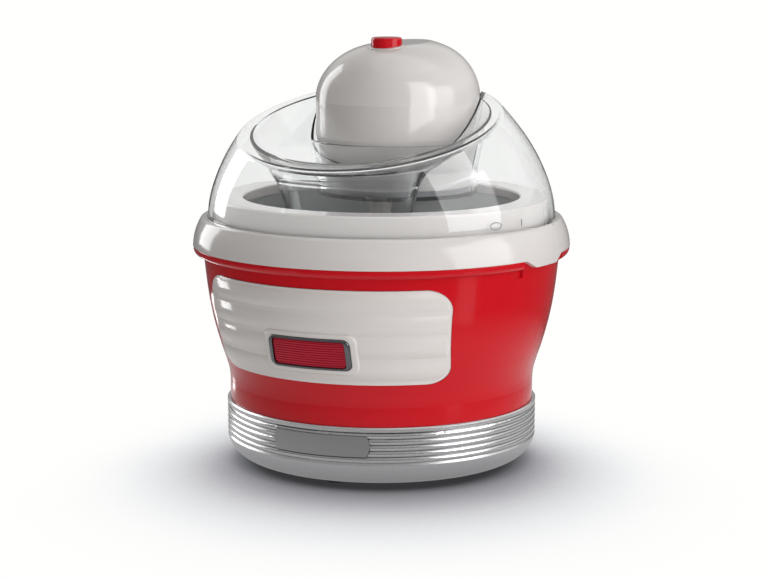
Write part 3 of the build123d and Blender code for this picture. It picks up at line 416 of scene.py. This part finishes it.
# ------------------------------------------------------------------ front panel
# The scalloped panel is let into the front of the body. It is moulded in a warm white ABS;
# polished tools leave a clean gloss with hardly any grain and a ripple about 4 mm across.
def moulded_white_abs():
    material, tree, output = new_material("moulded_white_abs")
    place = add(tree, "TexCoord")
    cloud = add(tree, "TexNoise", {"Scale": every(71.4), "Detail": 2.0},
                {"Vector": place.outputs["Object"]})
    colour = add(tree, "Mix", {"data_type": "RGBA", colour_a: linear("#dbd6d3"),
                               colour_b: linear("#dfdad7")}, {0: cloud.outputs["Fac"]})
    ripple = add(tree, "TexNoise", {"Scale": every(3.85), "Detail": 1.0},
                 {"Vector": place.outputs["Object"]})
    gloss = add(tree, "MapRange", {"To Min": 0.10, "To Max": 0.14}, {"Value": cloud.outputs["Fac"]})
    bump = add(tree, "Bump", {"Strength": 0.04, "Distance": 0.0004}, {"Height": ripple.outputs["Fac"]})
    edge = add(tree, "Bevel", {"samples": 4, "Radius": 0.0005}, {"Normal": bump.outputs[0]})
    plastic = add(tree, "BsdfPrincipled", {"IOR": 1.53}, {
        "Base Color": colour.outputs[mixed_colour], "Roughness": gloss.outputs[0],
        "Normal": edge.outputs[0]})
    tree.links.new(plastic.outputs[0], output.inputs["Surface"])
    return material


white_abs = moulded_white_abs()
finish_with(white_abs, "front_panel")


# ------------------------------------------------------------------ badge bezel
# The bezel is pressed into the panel's raised frame. It is ABS plated with bright chromium,
# which keeps the sharp dark and light lines of the room round its rounded band.
def bright_chromium():
    material, tree, output = new_material("bright_chromium_plate")
    place = add(tree, "TexCoord")
    cloud = add(tree, "TexNoise", {"Scale": every(6.25), "Detail": 2.0},
                {"Vector": place.outputs["Object"]})
    gloss = add(tree, "MapRange", {"To Min": 0.06, "To Max": 0.12}, {"Value": cloud.outputs["Fac"]})
    edge = add(tree, "Bevel", {"samples": 6, "Radius": 0.0008})
    metal = add(tree, "BsdfPrincipled", {"Base Color": linear("#6f7073"), "Metallic": 1.0}, {
        "Roughness": gloss.outputs[0], "Normal": edge.outputs[0]})
    tree.links.new(metal.outputs[0], output.inputs["Surface"])
    return material


finish_with(bright_chromium(), "badge_bezel")


# ------------------------------------------------------------------ badge insert
# The ribbed insert sits inside the bezel. It is a pressed plate with red lacquer over a
# bright foil, which glints along each rib and stays deep red between them.
def red_lacquered_foil():
    material, tree, output = new_material("red_lacquered_foil")
    place = add(tree, "TexCoord")
    cloud = add(tree, "TexNoise", {"Scale": every(16.7), "Detail": 2.0},
                {"Vector": place.outputs["Object"]})
    colour = add(tree, "Mix", {"data_type": "RGBA", colour_a: linear("#ac0a28"),
                               colour_b: linear("#c2102f")}, {0: cloud.outputs["Fac"]})
    gloss = add(tree, "MapRange", {"To Min": 0.14, "To Max": 0.20}, {"Value": cloud.outputs["Fac"]})
    foil = add(tree, "BsdfPrincipled", {"Metallic": 0.45, "Coat Weight": 0.15, "Coat Roughness": 0.08},
               {"Base Color": colour.outputs[mixed_colour], "Roughness": gloss.outputs[0]})
    tree.links.new(foil.outputs[0], output.inputs["Surface"])
    return material


finish_with(red_lacquered_foil(), "badge_insert")


# ------------------------------------------------------------------ freezer bowl
# The bowl lifts out of the cradle. Its liner and jacket are deep-drawn aluminium, turned
# against an abrasive pad that leaves fine level lines. A white ABS rim closes the top, and a
# rubber plug closes the hole that the coolant went in by.
finish_with(brushed_aluminium("drawn_aluminium_bowl", "#c9cacb", "#b9babb"), "bowl_liner", "bowl_jacket")
finish_with(white_abs, "bowl_rim")
finish_with(soft_rubber, "fill_plug")


# The coolant is a pale blue water gel, sealed in, clouded over about 33 mm.
def coolant_gel():
    material, tree, output = new_material("coolant_gel")
    place = add(tree, "TexCoord")
    cloud = add(tree, "TexNoise", {"Scale": every(33.3), "Detail": 2.0},
                {"Vector": place.outputs["Object"]})
    colour = add(tree, "Mix", {"data_type": "RGBA", colour_a: linear("#9fc3dc"),
                               colour_b: linear("#b2d2e6")}, {0: cloud.outputs["Fac"]})
    gel = add(tree, "BsdfPrincipled", {"Roughness": 0.3, "IOR": 1.34},
              {"Base Color": colour.outputs[mixed_colour]})
    tree.links.new(gel.outputs[0], output.inputs["Surface"])
    return material


finish_with(coolant_gel(), "coolant_fill")


# ------------------------------------------------------------------ paddle
# The paddle stands on the liner's pivot and is turned by the flats of the driving shaft. It
# is moulded in natural acetal, a waxy white that lets a little light in.
def natural_acetal():
    material, tree, output = new_material("natural_acetal")
    place = add(tree, "TexCoord")
    cloud = add(tree, "TexNoise", {"Scale": every(25.0), "Detail": 2.0},
                {"Vector": place.outputs["Object"]})
    colour = add(tree, "Mix", {"data_type": "RGBA", colour_a: linear("#dedbd2"),
                               colour_b: linear("#e6e3da")}, {0: cloud.outputs["Fac"]})
    sheen = add(tree, "MapRange", {"To Min": 0.32, "To Max": 0.42}, {"Value": cloud.outputs["Fac"]})
    plastic = add(tree, "BsdfPrincipled",
                  {"IOR": 1.48, "Subsurface Weight": 0.15, "Subsurface Scale": 0.002},
                  {"Base Color": colour.outputs[mixed_colour], "Roughness": sheen.outputs[0]})
    tree.links.new(plastic.outputs[0], output.inputs["Surface"])
    return material


acetal = natural_acetal()
finish_with(acetal, "paddle_frame")


# ------------------------------------------------------------------ collar
# The collar sits on the body's flange, with a lug at each side that drops into a notch, and
# takes the lid's foot in its channel. It is moulded in the same gloss white as the panel.
finish_with(white_abs, "collar_ring")


# ------------------------------------------------------------------ clear lid
# The lid is one moulding in clear styrene, polished all over. Light bends in its 2 mm wall,
# so its edges and lips draw dark and bright lines while its flat walls all but vanish. It
# lets most light through, so its own shadow is thin.
def clear_styrene():
    material, tree, output = new_material("clear_styrene")
    place = add(tree, "TexCoord")
    flow = add(tree, "TexNoise", {"Scale": every(33.3), "Detail": 1.0},
               {"Vector": place.outputs["Object"]})
    gloss = add(tree, "MapRange", {"To Min": 0.01, "To Max": 0.03}, {"Value": flow.outputs["Fac"]})
    clear = add(tree, "BsdfPrincipled", {"Base Color": linear("#fdfefe"), "IOR": 1.42,
                                         "Transmission Weight": 1.0}, {"Roughness": gloss.outputs[0]})
    thin_shadow = add(tree, "BsdfTransparent", {"Color": linear("#d4d4d7")})
    ray = add(tree, "LightPath")
    both = add(tree, "MixShader", {}, {0: ray.outputs["Is Shadow Ray"], 1: clear.outputs[0],
                                       2: thin_shadow.outputs[0]})
    tree.links.new(both.outputs[0], output.inputs["Surface"])
    depth = add(tree, "VolumeAbsorption", {"Color": linear("#95959e"), "Density": 24.0})
    tree.links.new(depth.outputs[0], output.inputs["Volume"])
    return material


finish_with(clear_styrene(), "lid_dome")


# ------------------------------------------------------------------ lock marks
# A ring and a bar, moulded proud of the lid's foot beside its bayonet tab and tipped with
# grey ink, show the open and the locked place. They are part of the lid's moulding.
def on_lid(angle, height):
    """The point of the lid's outer wall at an angle from the front and a height."""
    turn = math.radians(angle)
    inward = Vector((-math.sin(turn), math.cos(turn), 0.0))
    well_outside = 0.3
    start = Vector((0.0, 0.0, height)) - well_outside * inward
    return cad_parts["lid_dome"].ray_cast(start, inward)[1]


def moulded_bead(name, path, radius, closed):
    """A round bead of that radius, half sunk, along a path on the lid."""
    sides = 8
    turns = [math.radians(360 / sides * k) for k in range(sides)]
    mesh = bmesh.new()
    rings = []
    for i, point in enumerate(path):
        ahead = path[(i + 1) % len(path)] if closed else path[min(i + 1, len(path) - 1)]
        along = (ahead - path[i - 1 if closed else max(i - 1, 0)]).normalized()
        outward = Vector((point.x, point.y, 0.0)).normalized()
        across = along.cross(outward)
        rings.append([mesh.verts.new(point + radius * (math.cos(t) * outward + math.sin(t) * across))
                      for t in turns])
    joined = list(zip(rings, rings[1:] + rings[:1])) if closed else list(zip(rings, rings[1:]))
    for one, two in joined:
        for k in range(sides):
            mesh.faces.new((one[k], one[k - 1], two[k - 1], two[k]))
    if not closed:
        mesh.faces.new(rings[0])
        mesh.faces.new(rings[-1][::-1])
    bmesh.ops.recalc_face_normals(mesh, faces=mesh.faces)
    data = bpy.data.meshes.new(name)
    mesh.to_mesh(data)
    data.shade_smooth()
    bead = bpy.data.objects.new(name, data)
    scene.collection.objects.link(bead)
    return bead


# The ink is dry and even, worn in specks about a millimetre across.
def grey_hot_stamp():
    material, tree, output = new_material("grey_hot_stamp")
    place = add(tree, "TexCoord")
    worn = add(tree, "TexNoise", {"Scale": every(1.11)}, {"Vector": place.outputs["Object"]})
    colour = add(tree, "Mix", {"data_type": "RGBA", colour_a: linear("#8a8a8d"),
                               colour_b: linear("#a3a3a6")}, {0: worn.outputs["Fac"]})
    ink = add(tree, "BsdfPrincipled", {"Roughness": 0.35}, {"Base Color": colour.outputs[mixed_colour]})
    tree.links.new(ink.outputs[0], output.inputs["Surface"])
    return material


mark_rise = 0.0041      # from the collar's top to the middle of the marks
mark_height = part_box("collar_ring")[1][2] + mark_rise
ring_angle, bar_angle = 62.4, 74.3      # degrees from the front, towards the machine's left
ring_half_angle, ring_half_height = 2.2, 0.0021      # degrees round the lid, and metres
bar_half_height = 0.002
ring_bead, bar_bead = 0.0003, 0.0004      # the beads' radii
ring_turns = [math.radians(15 * k) for k in range(24)]
ring_points = [on_lid(ring_angle + ring_half_angle * math.cos(t),
                      mark_height + ring_half_height * math.sin(t)) for t in ring_turns]
bar_points = [on_lid(bar_angle, mark_height + bar_half_height * k / 4) for k in range(-4, 5)]
ink = grey_hot_stamp()
for bead in (moulded_bead("open_mark", ring_points, ring_bead, closed=True),
             moulded_bead("locked_mark", bar_points, bar_bead, closed=False)):
    bead.data.materials.append(ink)
    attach(bead, "lid")


# ------------------------------------------------------------------ motor unit's inside
# A base disc closes the motor unit's underside and a deck over the gears carries the motor.
# Both are grained grey ABS, drawn together by zinc-plated screws through three pillars.
finish_with(grey_abs, "motor_base", "motor_deck")
finish_with(steel, "deck_screws")


# ------------------------------------------------------------------ motor and gears
# The motor's drawn steel can stands on the deck. Its pinion drives the double idler and the
# output gear, moulded in acetal, which runs quietly dry. The shafts are plated steel, and
# the driving shaft turns in an acetal bush in the base disc.
finish_with(steel, "motor_can", "rotor_shaft", "idler_pin", "drive_shaft")
finish_with(acetal, "motor_pinion", "idler_gear", "output_gear", "output_bush")


# ------------------------------------------------------------------ switch and button
# The switch sits on a bent steel strip on the deck, straight under the button. The button is
# a red cap in a white ring, both ABS, on a coil spring of plated steel wire.
finish_with(grey_abs, "switch_body")
finish_with(steel, "switch_bracket", "button_spring")
finish_with(red_abs, "power_button")
finish_with(white_abs, "button_ring")

# The button's return spring stands on the floor of the ring's sleeve and, on the real machine,
# shortens by the button's travel. Here a copy with its own mesh rides with the motor unit.
coil = bpy.data.objects.new("return_spring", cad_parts["button_spring"].data.copy())
coil.matrix_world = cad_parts["button_spring"].matrix_world
scene.collection.objects.link(coil)
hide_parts("button_spring")
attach(coil, "motor_unit")
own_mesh(coil)


# ------------------------------------------------------------------ motor cover
# The housing closes over the motor and seats on the base disc. It is the same gloss white
# ABS as the panel, with a rubber bush in the hole where the mains lead would leave.
finish_with(white_abs, "motor_cover")
finish_with(soft_rubber, "lead_bush")
